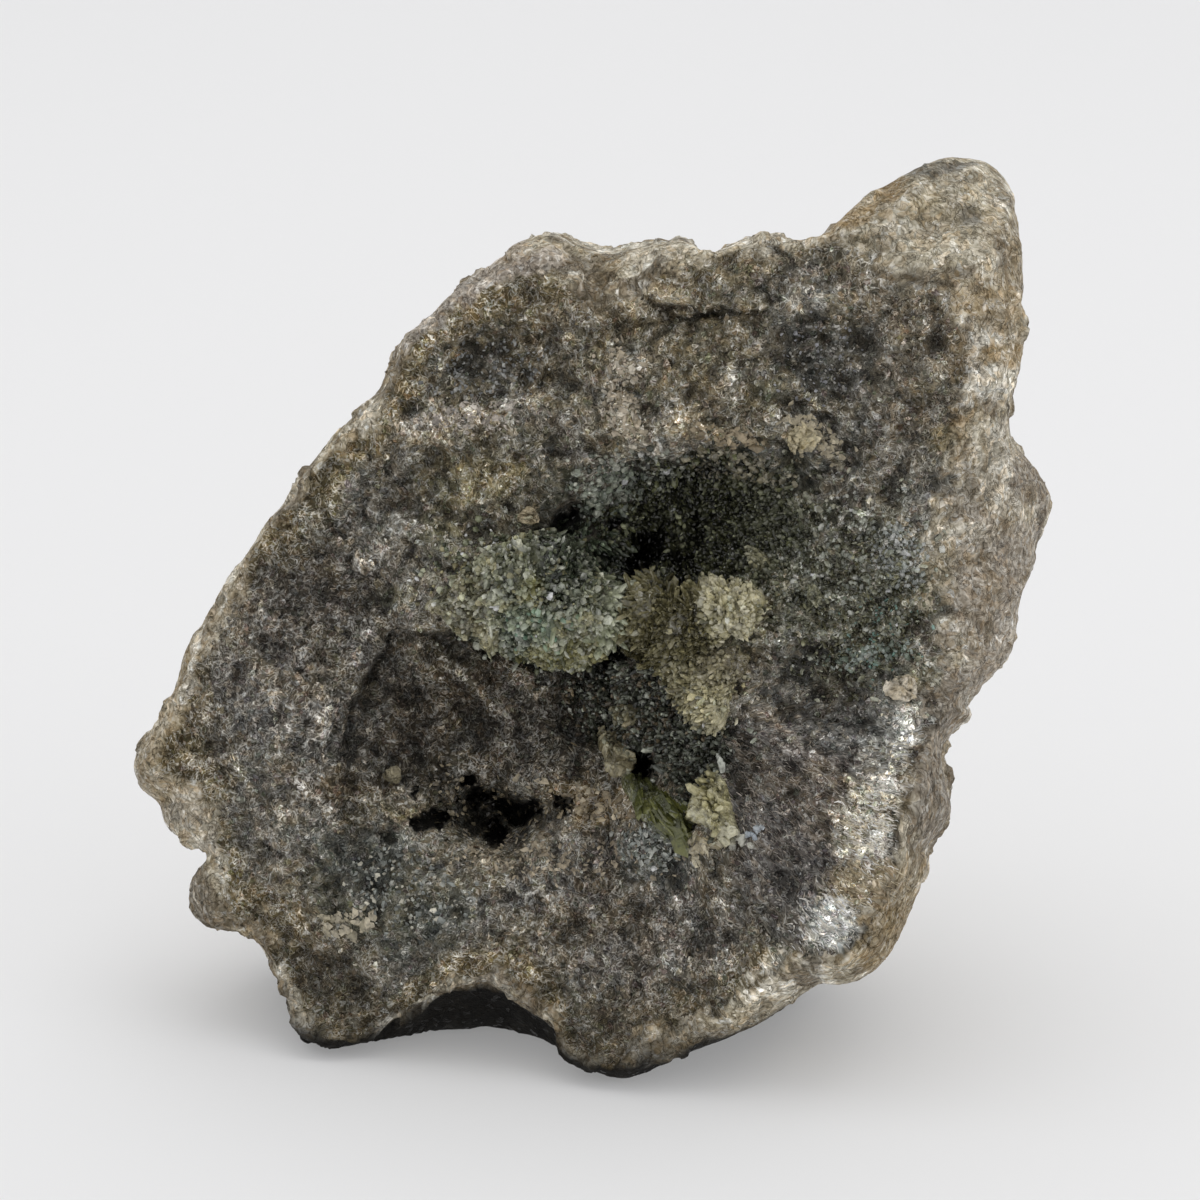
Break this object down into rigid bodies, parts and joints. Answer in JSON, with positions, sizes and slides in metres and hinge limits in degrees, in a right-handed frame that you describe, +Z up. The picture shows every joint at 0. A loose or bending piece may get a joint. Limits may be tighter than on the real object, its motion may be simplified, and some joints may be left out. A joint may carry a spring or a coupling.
{
  "type": "anapaite crystal cluster",
  "caption": "Broken lump of dark host rock with a pale weathered skin, its hollows lined with green anapaite crystals; stands leaning back on its own feet.",
  "frame": {"origin": "on the table under the middle of the whole specimen", "axes": "+Z up, -Y towards the viewer of the broken face, +X to the viewer's right, along the width"},
  "size_m": [0.0946, 0.0576, 0.0901],
  "materials": {
    "matrix_rock": "rough broken rock, matt, with a pale weathered skin outside",
    "pale_green_crystal": "translucent crystals with glassy faces",
    "olive_crystal": "translucent olive crystals with glassy faces",
    "cream_grain": "waxy cream grain",
    "grey_grain": "dull grey grain"
  },
  "bodies": {
    "root": {"matrix_rock": "matrix_rock", "upper_hollow_crystals": "pale_green_crystal", "lower_hollow_crystals": "olive_crystal", "cream_nugget": "cream_grain", "cream_lump": "cream_grain", "pale_nodule": "cream_grain", "ring_nodule": "grey_grain"}
  },
  "joints": []
}
